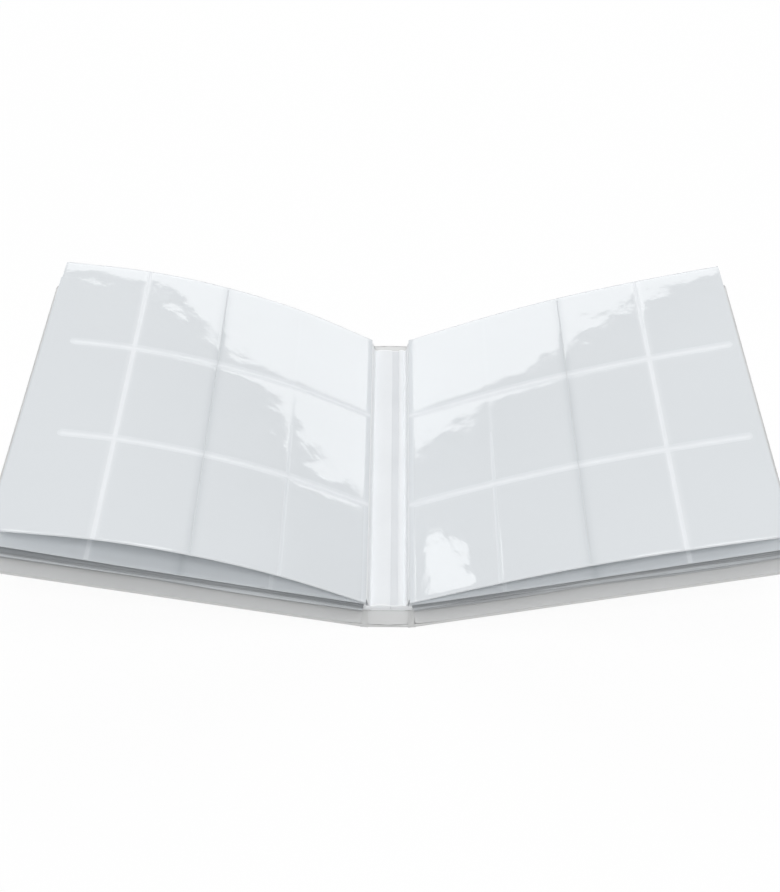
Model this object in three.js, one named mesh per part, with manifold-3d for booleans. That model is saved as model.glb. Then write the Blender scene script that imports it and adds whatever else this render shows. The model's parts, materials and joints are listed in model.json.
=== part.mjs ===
import * as THREE from 'three';
import { mergeVertices } from 'three/addons/utils/BufferGeometryUtils.js';
import Module from 'manifold-3d';

// A side-loading trading card album, standing open on its spine near its middle.
// Millimetres. +X runs to the right, +Y to the rear, +Z up.
// The origin is at the middle of the spine's underside.

// Cover
const COVER_HEIGHT = 302;
const COVER_REACH = 289;
const COVER_CORNER_RADIUS = 6;
const CREASE_SIDE_RADIUS = 0.5;
const LEAST_WELL_RADIUS = 0.1;
const SPINE_WIDTH = 32.8;
const SKIN_THICKNESS = 0.7;
const SKIN_RIM = 0.9;
const BOARD_THICKNESS = 1.6;
const LINING_THICKNESS = 0.4;
const GLUE_GAP = 0.25;
const LEFT_COVER_TILT = 15;
const RIGHT_COVER_TILT = 16.5;

// Creases between the spine and the two covers
const SPINE_TO_HINGE = 1.6;
const HINGE_TO_COVER = 2;
const CREASE_CLEARANCE = 0.25;
const CREASE_FLOOR_CLEARANCE = 0.05;

// Leaves: a core sheet with a clear film on each face, welded into rows and columns of pockets
const LEAVES_PER_SIDE = 10;
const FIRST_PILED_LEAF = 3;
const POCKET_COLUMN_WIDTH = 68;
const POCKET_ROW_HEIGHT = 96.6;
const LEAF_HEIGHT = 283.5;
const INNER_MARGIN = 5.2;
const OUTER_MARGIN = 3.8;
const MOUTH_CHANNEL = 3.6;
const FILM_END_MARGIN = 0.8;
const EDGE_WELD = 1.5;
const CORE_THICKNESS = 0.3;
const FILM_THICKNESS = 0.2;
const FILM_CLEARANCE = 0.1;
const WELD_WIDTH = 3;
const WELD_DEPTH = 0.12;
const WELD_SLOPE = 0.5;

// Heights of the leaves over the cover, measured square to it
const LOWEST_LEAF_LIFT = 0.8;
const LEAF_PITCH = 1.3;
const SECOND_LEAF_RISE = 3;
const TOP_LEAF_RISE = 2.8;
const ROOT_DISTANCE = 3.6;

// Slope of each pocket column of the two bulging top leaves, in degrees over the table
const LEFT_TOP_SLOPES = [30.8, 22.6, 15.7, 7.3];
const RIGHT_TOP_SLOPES = [23.9, 21, 17.2, 14.7];
const TOP_LEAF_FACETS = 12;

// Gutter: the leaves' welded inner margins, stacked on the spine
const STRIP_WIDTH = 27;
const STRIP_THICKNESS = 1;
const STRIP_CORNER_RADIUS = 0.5;
const STACK_HEIGHT = 276;
const STACK_THICKNESS = 4.8;
const STACK_CLEARANCE = 0.3;
const ROOT_CLEARANCE = 0.4;
const LIP_THICKNESS = 1.2;
const GROOVE_CENTRE = 4.5;
const GROOVE_WIDTH = 5;
const GROOVE_DEPTH = 1.2;
const BAND_THICKNESS = 0.6;
const BAND_CROWN = 0.8;
const BAND_STEPS = 8;

// Fineness of curves and of the joining of corners that coincide
const CORNER_STEPS = 5;
const SAME_POINT_DISTANCE = 1e-4;

// Finishes
const SKIN_FINISH = { color: 0xdcdee0, roughness: 0.55, metalness: 0 };
const BOARD_FINISH = { color: 0x9b958a, roughness: 0.9, metalness: 0 };
const LINING_FINISH = { color: 0xe4e6e8, roughness: 0.6, metalness: 0 };
const MARGIN_FINISH = { color: 0xe8ecf1, roughness: 0.35, metalness: 0 };
const CORE_FINISH = { color: 0xd9dee4, roughness: 0.6, metalness: 0 };
const FILM_FINISH = { color: 0xe9edf2, roughness: 0.15, metalness: 0 };

// Sizes worked out from the driving dimensions
const COVER_THICKNESS = SKIN_THICKNESS + BOARD_THICKNESS + LINING_THICKNESS + 2 * GLUE_GAP;
const HINGE_X = SPINE_WIDTH / 2 + SPINE_TO_HINGE;
const HINGE_Z = COVER_THICKNESS / 2;
const COVER_FACE = COVER_THICKNESS / 2;
const POCKET_COLUMNS = LEFT_TOP_SLOPES.length;
const LEAF_LENGTH = INNER_MARGIN + POCKET_COLUMNS * POCKET_COLUMN_WIDTH + OUTER_MARGIN;
const LEAF_MIDDLE = INNER_MARGIN + (POCKET_COLUMNS / 2) * POCKET_COLUMN_WIDTH;
const FILM_START = CORE_THICKNESS / 2 + FILM_CLEARANCE;
const LEAF_THICKNESS = 2 * (FILM_START + FILM_THICKNESS);
const STRIP_BOTTOM = COVER_THICKNESS + STACK_CLEARANCE;
const STACK_BOTTOM = STRIP_BOTTOM + STRIP_THICKNESS + STACK_CLEARANCE;
const STACK_TOP = STACK_BOTTOM + STACK_THICKNESS;
const GROOVE_LEFT = GROOVE_CENTRE - GROOVE_WIDTH / 2;
const GROOVE_RIGHT = GROOVE_CENTRE + GROOVE_WIDTH / 2;

const LEFT = { name: 'left', side: -1, tilt: radians(LEFT_COVER_TILT), slopes: LEFT_TOP_SLOPES };
const RIGHT = { name: 'right', side: 1, tilt: radians(RIGHT_COVER_TILT), slopes: RIGHT_TOP_SLOPES };

const wasm = await Module();
wasm.setup();

function radians(degrees) {
  return THREE.MathUtils.degToRad(degrees);
}

function piece(parent, name, geometry, finish) {
  const mesh = new THREE.Mesh(geometry, new THREE.MeshStandardMaterial(finish));
  mesh.name = name;
  parent.add(mesh);
}

// Booleans

function solidOf(geometry) {
  const bare = geometry.clone();
  bare.deleteAttribute('normal');
  bare.deleteAttribute('uv');
  const merged = mergeVertices(bare, SAME_POINT_DISTANCE);
  const vertProperties = new Float32Array(merged.attributes.position.array);
  const triVerts = new Uint32Array(merged.index.array);
  return new wasm.Manifold(new wasm.Mesh({ numProp: 3, vertProperties, triVerts }));
}

function geometryOf(solid) {
  const mesh = solid.getMesh();
  return indexed(mesh.vertProperties, mesh.triVerts);
}

function indexed(positions, triangles) {
  const geometry = new THREE.BufferGeometry();
  geometry.setAttribute('position', new THREE.BufferAttribute(new Float32Array(positions), 3));
  geometry.setIndex(new THREE.BufferAttribute(new Uint32Array(triangles), 1));
  geometry.computeVertexNormals();
  return geometry;
}

// Plain shapes

// A flat outline from x = near to x = far, with one radius for its near corners and one for its far.
function panelOutline(near, far, height, [nearRadius, farRadius]) {
  const half = height / 2;
  const shape = new THREE.Shape();
  shape.moveTo(near + nearRadius, -half);
  shape.lineTo(far - farRadius, -half);
  shape.absarc(far - farRadius, farRadius - half, farRadius, -Math.PI / 2, 0, false);
  shape.lineTo(far, half - farRadius);
  shape.absarc(far - farRadius, half - farRadius, farRadius, 0, Math.PI / 2, false);
  shape.lineTo(near + nearRadius, half);
  shape.absarc(near + nearRadius, half - nearRadius, nearRadius, Math.PI / 2, Math.PI, false);
  shape.lineTo(near, nearRadius - half);
  shape.absarc(near + nearRadius, nearRadius - half, nearRadius, Math.PI, 1.5 * Math.PI, false);
  return shape;
}

function slab(outline, bottom, top) {
  const options = { depth: top - bottom, bevelEnabled: false, curveSegments: CORNER_STEPS };
  return new THREE.ExtrudeGeometry(outline, options).translate(0, 0, bottom);
}

// A prism along Y whose section is a list of [x, z] points.
function prism(section, length) {
  const outline = new THREE.Shape(section.map(([x, z]) => new THREE.Vector2(x, z)));
  const geometry = new THREE.ExtrudeGeometry(outline, { depth: length, bevelEnabled: false });
  return geometry.rotateX(Math.PI / 2).translate(0, length / 2, 0);
}

// A closed sheet over a grid of stations along a path and along Y, between two offsets from the path.
// Cells that the open function names are left out, and walls close the sheet along every border.
function sheet(path, stations, rows, lower, upper, open = () => false) {
  const across = rows.length;
  const layer = stations.length * across;
  const positions = [];
  for (const offset of [lower, upper]) {
    for (const s of stations) {
      for (const y of rows) {
        const [x, z] = path(s, offset(s, y));
        positions.push(x, y, z);
      }
    }
  }
  const filled = (i, j) => {
    const inside = i >= 0 && j >= 0 && i + 1 < stations.length && j + 1 < across;
    return inside && !open((stations[i] + stations[i + 1]) / 2, (rows[j] + rows[j + 1]) / 2);
  };
  const triangles = [];
  const quad = (a, b, c, d) => triangles.push(a, b, c, a, c, d);
  const wall = (a, b) => quad(a, b, layer + b, layer + a);
  for (let i = 0; i + 1 < stations.length; i += 1) {
    for (let j = 0; j + 1 < across; j += 1) {
      if (!filled(i, j)) {
        continue;
      }
      const a = i * across + j;
      const b = a + across;
      quad(a, a + 1, b + 1, b);
      quad(layer + a, layer + b, layer + b + 1, layer + a + 1);
      if (!filled(i, j - 1)) wall(a, b);
      if (!filled(i, j + 1)) wall(b + 1, a + 1);
      if (!filled(i - 1, j)) wall(a + 1, a);
      if (!filled(i + 1, j)) wall(b, b + 1);
    }
  }
  return indexed(positions, triangles);
}

// Cover

// A tray of skin: a floor with a rim that the board and the lining lie inside.
function skinTray(near, far, bottom, top, radii) {
  const outer = panelOutline(near, far, COVER_HEIGHT, radii);
  const inner = wellOutline(near, far, 0, radii);
  const body = solidOf(slab(outer, bottom, top));
  const well = solidOf(slab(inner, bottom + SKIN_THICKNESS, top + SKIN_THICKNESS));
  return geometryOf(body.subtract(well));
}

// The outline inside a tray's rim, drawn in by a further clearance.
function wellOutline(near, far, clearance, radii) {
  const inset = SKIN_RIM + clearance;
  const wellRadii = radii.map((radius) => Math.max(radius - inset, LEAST_WELL_RADIUS));
  const height = COVER_HEIGHT - 2 * inset;
  return panelOutline(near + inset, far - inset, height, wellRadii);
}

// The three layers of one cover panel, from the outside in.
function addPanel(parent, name, near, far, bottom, radii) {
  const top = bottom + COVER_THICKNESS;
  const boardBottom = bottom + SKIN_THICKNESS + GLUE_GAP;
  const boardTop = boardBottom + BOARD_THICKNESS;
  const well = wellOutline(near, far, GLUE_GAP, radii);
  const skin = skinTray(near, far, bottom, top, radii);
  piece(parent, `${name}_skin`, skin, SKIN_FINISH);
  piece(parent, `${name}_board`, slab(well, boardBottom, boardTop), BOARD_FINISH);
  piece(parent, `${name}_lining`, slab(well, boardTop + GLUE_GAP, top), LINING_FINISH);
}

// Position in the album of a point on one half, given outward along the cover and up from it.
function halfPoint(half, out, up) {
  const x = HINGE_X + out * Math.cos(half.tilt) - up * Math.sin(half.tilt);
  const z = HINGE_Z + out * Math.sin(half.tilt) + up * Math.cos(half.tilt);
  return [half.side * x, z];
}

// The thin stretch of skin that bends between the spine and one cover.
function addCrease(album, half) {
  const inner = half.side * (SPINE_WIDTH / 2 + CREASE_CLEARANCE);
  const bend = half.side * HINGE_X;
  const low = CREASE_FLOOR_CLEARANCE;
  const high = low + SKIN_THICKNESS;
  const outer = HINGE_TO_COVER - CREASE_CLEARANCE;
  const under = low - COVER_FACE;
  const section = [
    [inner, low],
    [bend, low],
    halfPoint(half, outer, under),
    halfPoint(half, outer, under + SKIN_THICKNESS),
    [bend, high],
    [inner, high],
  ];
  piece(album, `${half.name}_cover_crease`, prism(section, COVER_HEIGHT), SKIN_FINISH);
}

// Gutter

// The stacked inner margins of one half's leaves: flat on the spine, with a lip beside the leaf roots.
function addMarginStack(album, half) {
  const outer = ROOT_DISTANCE - ROOT_CLEARANCE;
  const rise = leafLift(1);
  const foot = halfPoint(half, outer, COVER_FACE + STACK_CLEARANCE);
  const rootTop = halfPoint(half, outer, rise);
  const lip = halfPoint(half, outer - LIP_THICKNESS, rise);
  const lipFoot = [lip[0], STACK_TOP];
  const shelf = half.side * (SPINE_WIDTH / 2 - STACK_CLEARANCE);
  const middle = half.side < 0 ? GROOVE_LEFT - STACK_CLEARANCE : GROOVE_LEFT;
  const section = [[middle, STACK_BOTTOM], [shelf, STACK_BOTTOM], foot, rootTop, lip, lipFoot];
  if (half.side > 0) {
    section.push([GROOVE_RIGHT, STACK_TOP], [GROOVE_RIGHT, STACK_TOP - GROOVE_DEPTH]);
    section.push([middle, STACK_TOP - GROOVE_DEPTH]);
  } else {
    section.push([middle, STACK_TOP]);
  }
  piece(album, `${half.name}_margin_stack`, prism(section, STACK_HEIGHT), MARGIN_FINISH);
}

// The topmost margin of one half, a gently crowned band that shows in the gutter.
function addGutterBand(album, half) {
  const lip = halfPoint(half, ROOT_DISTANCE - ROOT_CLEARANCE - LIP_THICKNESS, leafLift(1));
  const inner = half.side < 0 ? GROOVE_LEFT - STACK_CLEARANCE : GROOVE_RIGHT + STACK_CLEARANCE;
  const outer = lip[0] - half.side * STACK_CLEARANCE;
  const bottom = STACK_TOP + STACK_CLEARANCE;
  const section = [[outer, bottom], [inner, bottom]];
  for (let i = 0; i <= BAND_STEPS; i += 1) {
    const across = i / BAND_STEPS;
    const crown = BAND_CROWN * Math.sin(Math.PI * across);
    section.push([inner + (outer - inner) * across, bottom + BAND_THICKNESS + crown]);
  }
  piece(album, `${half.name}_gutter_band`, prism(section, STACK_HEIGHT), MARGIN_FINISH);
}

// Leaves

// Height of a leaf's middle over the middle of the cover's thickness. Leaf 1 is the top one.
function leafLift(number) {
  const lowest = COVER_FACE + LOWEST_LEAF_LIFT + LEAF_THICKNESS / 2;
  const evenSteps = LEAVES_PER_SIDE - Math.max(number, FIRST_PILED_LEAF);
  const secondRise = number < FIRST_PILED_LEAF ? SECOND_LEAF_RISE : 0;
  const topRise = number === 1 ? TOP_LEAF_RISE : 0;
  return lowest + evenSteps * LEAF_PITCH + secondRise + topRise;
}

// A flat leaf's path, parallel to the cover.
function flatPath(number) {
  const lift = leafLift(number);
  return (s, offset) => [ROOT_DISTANCE + s, lift + offset];
}

// The bulging top leaf's path: a smooth curve through its pocket columns, cut into straight facets.
function bulgingPath(half) {
  let x = ROOT_DISTANCE;
  let z = leafLift(1);
  const knots = [new THREE.Vector3(x, 0, z)];
  half.slopes.forEach((degrees, column) => {
    const slope = radians(degrees) - half.tilt;
    const inner = column === 0 ? INNER_MARGIN : 0;
    const outer = column === half.slopes.length - 1 ? OUTER_MARGIN : 0;
    const span = inner + POCKET_COLUMN_WIDTH + outer;
    x += span * Math.cos(slope);
    z += span * Math.sin(slope);
    knots.push(new THREE.Vector3(x, 0, z));
  });
  const curve = new THREE.CatmullRomCurve3(knots, false, 'centripetal');
  const points = curve.getSpacedPoints(TOP_LEAF_FACETS);
  const normals = points.map((point, i) => {
    const tangent = curve.getTangentAt(i / TOP_LEAF_FACETS);
    return new THREE.Vector3(-tangent.z, 0, tangent.x);
  });
  return (s, offset) => {
    const along = (s / LEAF_LENGTH) * TOP_LEAF_FACETS;
    const i = Math.min(Math.floor(along), TOP_LEAF_FACETS - 1);
    const point = points[i].clone().lerp(points[i + 1], along - i);
    const normal = normals[i].clone().lerp(normals[i + 1], along - i);
    return [point.x + offset * normal.x, point.z + offset * normal.z];
  };
}

// The facets' ends between two stations, with the two stations themselves.
function bendStations(from, to, facets) {
  const stations = [from];
  for (let i = 1; i < facets; i += 1) {
    const s = (i / facets) * LEAF_LENGTH;
    if (s > from + WELD_SLOPE && s < to - WELD_SLOPE) {
      stations.push(s);
    }
  }
  stations.push(to);
  return stations;
}

// Adds the four edges of each weld line to a list of stations, in order.
function withWelds(stations, welds) {
  const half = WELD_WIDTH / 2;
  const steps = [-half - WELD_SLOPE, -half, half, half + WELD_SLOPE];
  const edges = welds.flatMap((at) => steps.map((step) => at + step));
  const clear = stations.filter((s) => edges.every((edge) => Math.abs(edge - s) > WELD_SLOPE));
  return [...clear, ...edges].sort((a, b) => a - b);
}

function nearWeld(at, welds, reach) {
  return welds.some((weld) => Math.abs(at - weld) < reach);
}

function leafCore(path, facets) {
  const stations = bendStations(0, LEAF_LENGTH - EDGE_WELD, facets);
  const rows = [-LEAF_HEIGHT / 2, LEAF_HEIGHT / 2];
  return sheet(path, stations, rows, () => -CORE_THICKNESS / 2, () => CORE_THICKNESS / 2);
}

// One face's film over a facetted path, pressed down along its welds and slit at the pocket mouths.
function weldedFilm(path, face) {
  const rowWelds = [-POCKET_ROW_HEIGHT / 2, POCKET_ROW_HEIGHT / 2];
  const columnWelds = [LEAF_MIDDLE - POCKET_COLUMN_WIDTH, LEAF_MIDDLE + POCKET_COLUMN_WIDTH];
  const mouth = [LEAF_MIDDLE - MOUTH_CHANNEL / 2, LEAF_MIDDLE + MOUTH_CHANNEL / 2];
  const end = LEAF_HEIGHT / 2 - FILM_END_MARGIN;
  const mouthEnd = end - WELD_WIDTH;
  const rows = withWelds([-end, -mouthEnd, mouthEnd, end], rowWelds);
  const bends = bendStations(INNER_MARGIN, LEAF_LENGTH - OUTER_MARGIN, TOP_LEAF_FACETS);
  const clear = bends.filter((s) => Math.abs(s - LEAF_MIDDLE) > MOUTH_CHANNEL);
  const stations = withWelds([...clear, ...mouth], columnWelds);
  const reach = WELD_WIDTH / 2 + WELD_SLOPE / 2;
  const pressed = (s, y) => nearWeld(s, columnWelds, reach) || nearWeld(y, rowWelds, reach);
  const outside = (s, y) => FILM_START + FILM_THICKNESS - (pressed(s, y) ? WELD_DEPTH : 0);
  const inside = () => FILM_START;
  const slit = (s, y) => s > mouth[0] && s < mouth[1] && Math.abs(y) < mouthEnd
    && !nearWeld(y, rowWelds, WELD_WIDTH / 2 + WELD_SLOPE);
  return face > 0
    ? sheet(path, stations, rows, inside, outside, slit)
    : sheet(path, stations, rows, (s, y) => -outside(s, y), () => -FILM_START, slit);
}

// A flat leaf's film: one sheet folded round the outer edge of the core, so that it lies on both faces.
function filmSleeve(path) {
  const inner = FILM_START;
  const outer = FILM_START + FILM_THICKNESS;
  const fold = LEAF_LENGTH - FILM_THICKNESS;
  const section = [
    path(INNER_MARGIN, inner),
    path(fold, inner),
    path(fold, -inner),
    path(INNER_MARGIN, -inner),
    path(INNER_MARGIN, -outer),
    path(LEAF_LENGTH, -outer),
    path(LEAF_LENGTH, outer),
    path(INNER_MARGIN, outer),
  ];
  return prism(section, LEAF_HEIGHT - 2 * FILM_END_MARGIN);
}

function addTopLeaf(parent, half) {
  const path = bulgingPath(half);
  const name = `${half.name}_leaf_01`;
  piece(parent, `${name}_core`, leafCore(path, TOP_LEAF_FACETS), CORE_FINISH);
  piece(parent, `${name}_front_pockets`, weldedFilm(path, 1), FILM_FINISH);
  piece(parent, `${name}_back_pockets`, weldedFilm(path, -1), FILM_FINISH);
}

function addLowerLeaf(parent, half, number) {
  const path = flatPath(number);
  const name = `${half.name}_leaf_${String(number).padStart(2, '0')}`;
  piece(parent, `${name}_core`, leafCore(path, 1), CORE_FINISH);
  piece(parent, `${name}_pockets`, filmSleeve(path), FILM_FINISH);
}

// Assembly

// A group whose local X runs outward along one cover and whose local Z stands square to it.
function halfFrame(album, half) {
  const hinge = new THREE.Group();
  hinge.position.set(half.side * HINGE_X, 0, HINGE_Z);
  hinge.rotation.y = -half.side * half.tilt;
  const facing = new THREE.Group();
  facing.rotation.z = half.side < 0 ? Math.PI : 0;
  hinge.add(facing);
  album.add(hinge);
  return facing;
}

function addHalf(album, half) {
  const frame = halfFrame(album, half);
  const bottom = -COVER_FACE;
  const radii = [CREASE_SIDE_RADIUS, COVER_CORNER_RADIUS];
  addPanel(frame, `${half.name}_cover`, HINGE_TO_COVER, COVER_REACH, bottom, radii);
  addCrease(album, half);
  addMarginStack(album, half);
  addGutterBand(album, half);
  addTopLeaf(frame, half);
  for (let number = 2; number <= LEAVES_PER_SIDE; number += 1) {
    addLowerLeaf(frame, half, number);
  }
}

function addSpine(album) {
  const edge = SPINE_WIDTH / 2;
  addPanel(album, 'spine', -edge, edge, 0, [CREASE_SIDE_RADIUS, CREASE_SIDE_RADIUS]);
  const side = STRIP_WIDTH / 2;
  const radii = [STRIP_CORNER_RADIUS, STRIP_CORNER_RADIUS];
  const outline = panelOutline(-side, side, STACK_HEIGHT, radii);
  const strip = slab(outline, STRIP_BOTTOM, STRIP_BOTTOM + STRIP_THICKNESS);
  piece(album, 'binding_strip', strip, MARGIN_FINISH);
}

const album = new THREE.Group();
addSpine(album);
addHalf(album, LEFT);
addHalf(album, RIGHT);

export default album;
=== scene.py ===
import json
import math

import bmesh
import bpy
from mathutils import Matrix, Vector, noise


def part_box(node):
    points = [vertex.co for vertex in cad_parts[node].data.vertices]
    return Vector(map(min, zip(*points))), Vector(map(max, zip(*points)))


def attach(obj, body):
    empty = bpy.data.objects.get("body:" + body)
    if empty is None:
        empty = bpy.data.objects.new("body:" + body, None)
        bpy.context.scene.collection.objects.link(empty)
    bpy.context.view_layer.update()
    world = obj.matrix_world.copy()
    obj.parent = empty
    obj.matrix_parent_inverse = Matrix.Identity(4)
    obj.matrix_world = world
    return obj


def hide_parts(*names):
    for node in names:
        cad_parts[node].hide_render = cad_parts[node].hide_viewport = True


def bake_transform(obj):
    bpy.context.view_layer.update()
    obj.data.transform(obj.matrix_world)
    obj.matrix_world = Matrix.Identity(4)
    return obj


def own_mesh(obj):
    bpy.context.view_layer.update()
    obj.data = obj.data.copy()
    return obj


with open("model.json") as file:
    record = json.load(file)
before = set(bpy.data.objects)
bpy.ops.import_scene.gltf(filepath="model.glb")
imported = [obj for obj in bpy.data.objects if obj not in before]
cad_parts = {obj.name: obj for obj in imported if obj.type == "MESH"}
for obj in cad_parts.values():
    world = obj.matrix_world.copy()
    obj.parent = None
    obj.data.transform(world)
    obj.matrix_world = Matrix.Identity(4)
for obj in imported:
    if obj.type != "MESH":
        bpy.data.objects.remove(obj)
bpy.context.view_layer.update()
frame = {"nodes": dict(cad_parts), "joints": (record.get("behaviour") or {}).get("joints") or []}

# Camera
# The photograph looks down on the open album from in front of it, over the middle of the gutter.
# The place, the angles and the focal length were solved from the corners of the pocket grid.

MM = 0.001
CAMERA_PLACE = Vector((2.4, -590.0, 741.0)) * MM
CAMERA_PITCH_DOWN = math.radians(50.04)
CAMERA_YAW = math.radians(0.2)
CAMERA_ROLL = math.radians(0.32)
CAMERA_LENS = 44.68

camera = bpy.data.objects.new("camera", bpy.data.cameras.new("camera"))
camera.data.lens = CAMERA_LENS
turn = Matrix.Rotation(CAMERA_YAW, 4, "Z") @ Matrix.Rotation(math.pi / 2 - CAMERA_PITCH_DOWN, 4, "X")
camera.matrix_world = Matrix.Translation(CAMERA_PLACE) @ turn @ Matrix.Rotation(CAMERA_ROLL, 4, "Z")
bpy.context.scene.collection.objects.link(camera)
bpy.context.scene.camera = camera
bpy.context.scene.view_settings.view_transform = "Standard"

# Studio
# A plain pale floor in an even white room, with soft boxes overhead and over the camera. The clear films
# mirror a wide soft panel behind the album and a slim lamp beside it as glare, and the room as plain film.

WHITE = (1.0, 1.0, 1.0, 1.0)
ROOM_LIGHT = 0.2
FLOOR_SIZE = 14.0
FLOOR_COLOR = (0.97, 0.97, 0.97, 1.0)
FLOOR_SHADOW_SHARE = 0.08
PANEL_DISTANCE = 1.8
PANEL_SPREAD = (2.5, 0.86)
PANEL_RISE = 0.5
PANEL_RADIANCE = 1.75
SIDE_PLACE = (-2.135, 1.8, 2.27)
SIDE_SIZE = (0.36, 1.0)
SIDE_RADIANCE = 2.0
SIDE_ROLL = math.radians(-33)
FRONT_DISTANCE = 3.3
FRONT_ELEVATION = math.radians(58)
FRONT_SIZE = (1.8, 1.2)
FRONT_RADIANCE = 8.4
OVERHEAD_HEIGHT = 2.4
OVERHEAD_SIZE = (1.6, 1.2)
OVERHEAD_RADIANCE = 2.0


def white_to_the_eye(nodes, links):
    """A mask that is 1 for what the camera, a gloss or a clear piece looks at directly."""
    path = nodes.new("ShaderNodeLightPath")
    seen = path.outputs["Is Camera Ray"]
    for ray in ("Is Glossy Ray", "Is Transmission Ray"):
        either = nodes.new("ShaderNodeMath")
        either.operation = "MAXIMUM"
        links.new(seen, either.inputs[0])
        links.new(path.outputs[ray], either.inputs[1])
        seen = either.outputs[0]
    return seen


def make_room():
    world = bpy.data.worlds.new("white_room")
    world.use_nodes = True
    nodes, links = world.node_tree.nodes, world.node_tree.links
    nodes.clear()
    lighting = nodes.new("ShaderNodeBackground")
    lighting.inputs["Strength"].default_value = ROOM_LIGHT
    lighting.inputs["Color"].default_value = WHITE
    seen = nodes.new("ShaderNodeBackground")
    seen.inputs["Strength"].default_value = 1.0
    seen.inputs["Color"].default_value = WHITE
    mix = nodes.new("ShaderNodeMixShader")
    output = nodes.new("ShaderNodeOutputWorld")
    links.new(white_to_the_eye(nodes, links), mix.inputs["Fac"])
    links.new(lighting.outputs[0], mix.inputs[1])
    links.new(seen.outputs[0], mix.inputs[2])
    links.new(mix.outputs[0], output.inputs["Surface"])
    bpy.context.scene.world = world


def floor_material():
    """White to the eye, less a share that keeps the album's shadow."""
    material = bpy.data.materials.new("studio_floor")
    material.use_nodes = True
    nodes, links = material.node_tree.nodes, material.node_tree.links
    nodes.clear()
    lit = nodes.new("ShaderNodeBsdfDiffuse")
    lit.inputs["Color"].default_value = FLOOR_COLOR
    glow = nodes.new("ShaderNodeEmission")
    glow.inputs["Strength"].default_value = 1.0
    glow.inputs["Color"].default_value = WHITE
    share = nodes.new("ShaderNodeMath")
    share.operation = "MULTIPLY"
    share.inputs[1].default_value = 1.0 - FLOOR_SHADOW_SHARE
    mix = nodes.new("ShaderNodeMixShader")
    output = nodes.new("ShaderNodeOutputMaterial")
    links.new(white_to_the_eye(nodes, links), share.inputs[0])
    links.new(share.outputs[0], mix.inputs["Fac"])
    links.new(lit.outputs[0], mix.inputs[1])
    links.new(glow.outputs[0], mix.inputs[2])
    links.new(mix.outputs[0], output.inputs["Surface"])
    return material


def make_floor():
    bm = bmesh.new()
    bmesh.ops.create_grid(bm, x_segments=1, y_segments=1, size=FLOOR_SIZE / 2)
    mesh = bpy.data.meshes.new("floor")
    bm.to_mesh(mesh)
    bm.free()
    mesh.materials.append(floor_material())
    floor = bpy.data.objects.new("floor", mesh)
    bpy.context.scene.collection.objects.link(floor)


def add_soft_light(name, shape, place, target, size, radiance, roll=0.0):
    """A soft light at a place, turned to a target, that the camera itself doesn't see."""
    light = bpy.data.lights.new(name, "AREA")
    light.shape = shape
    light.size, light.size_y = size
    area = size[0] * size[1] * (math.pi / 4 if shape == "ELLIPSE" else 1.0)
    light.energy = radiance * math.pi * area
    lamp = bpy.data.objects.new(name, light)
    away = (Vector(place) - Vector(target)).to_track_quat("Z", "Y").to_matrix().to_4x4()
    lamp.matrix_world = Matrix.Translation(place) @ away @ Matrix.Rotation(roll, 4, "Z")
    lamp.visible_camera = False
    bpy.context.scene.collection.objects.link(lamp)


def add_mirrored_lights():
    """The panel and the slim lamp that show in the films. Both stand upright and face forward."""
    height = PANEL_RISE * PANEL_DISTANCE
    size = (PANEL_SPREAD[0] * PANEL_DISTANCE, PANEL_SPREAD[1] * PANEL_DISTANCE)
    place = (0.0, PANEL_DISTANCE, height)
    add_soft_light("rear_panel", "ELLIPSE", place, (0.0, 0.0, height), size, PANEL_RADIANCE)
    ahead = (SIDE_PLACE[0], 0.0, SIDE_PLACE[2])
    add_soft_light("side_lamp", "ELLIPSE", SIDE_PLACE, ahead, SIDE_SIZE, SIDE_RADIANCE, SIDE_ROLL)


def add_soft_boxes():
    """The two boxes that light the album itself, and face its middle."""
    middle = (0.0, 0.0, 0.0)
    rise, reach = math.sin(FRONT_ELEVATION), math.cos(FRONT_ELEVATION)
    front = (0.0, -FRONT_DISTANCE * reach, FRONT_DISTANCE * rise)
    add_soft_light("front_box", "RECTANGLE", front, middle, FRONT_SIZE, FRONT_RADIANCE)
    above = (0.0, 0.0, OVERHEAD_HEIGHT)
    add_soft_light("overhead", "RECTANGLE", above, middle, OVERHEAD_SIZE, OVERHEAD_RADIANCE)


make_room()
make_floor()
add_mirrored_lights()
add_soft_boxes()

# Spine
# A stiff narrow panel: a grey board wrapped in white grained skin, whose edges turn in round the board,
# with a pale lining sheet glued on the inside. The skin is a low tray that holds the board and the lining.

SKIN_RIM = 0.9 * MM
SKIN_EDGE_ROUND = 0.8 * MM
WELL_DEPTH = 2.2 * MM
WELL_LEAN = MM / 100
LINING_EDGE_ROUND = 0.12 * MM
LINING_SPREAD = 0.27 * MM
CREASE_SIDE_CORNER = 0.5 * MM
CORNER_STEPS = 8
RIM_STEPS = 3
SAME_PLACE = MM / 10
SAME_LEVEL = MM / 100
RIM_FROM = math.radians(60)
SHARP_FROM = math.radians(35)
GRAIN_DETAIL = 4.0
CLOUD_DETAIL = 2.0
SHADES_START = 0.3
SHADES_END = 0.7


def finished(bm, name, material, body, slot, *nodes, smooth=True):
    """Turns a bmesh into a piece that rides on a body and stands for some nodes."""
    bmesh.ops.recalc_face_normals(bm, faces=bm.faces)
    mesh = bpy.data.meshes.new(name)
    bm.to_mesh(mesh)
    bm.free()
    for face in mesh.polygons:
        face.use_smooth = smooth
    if smooth:
        mesh.set_sharp_from_angle(angle=SHARP_FROM)
    mesh.materials.append(material)
    piece = bpy.data.objects.new(name, mesh)
    bpy.context.scene.collection.objects.link(piece)
    if body:
        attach(piece, body)
    if nodes:
        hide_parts(*nodes)
    return piece


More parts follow.
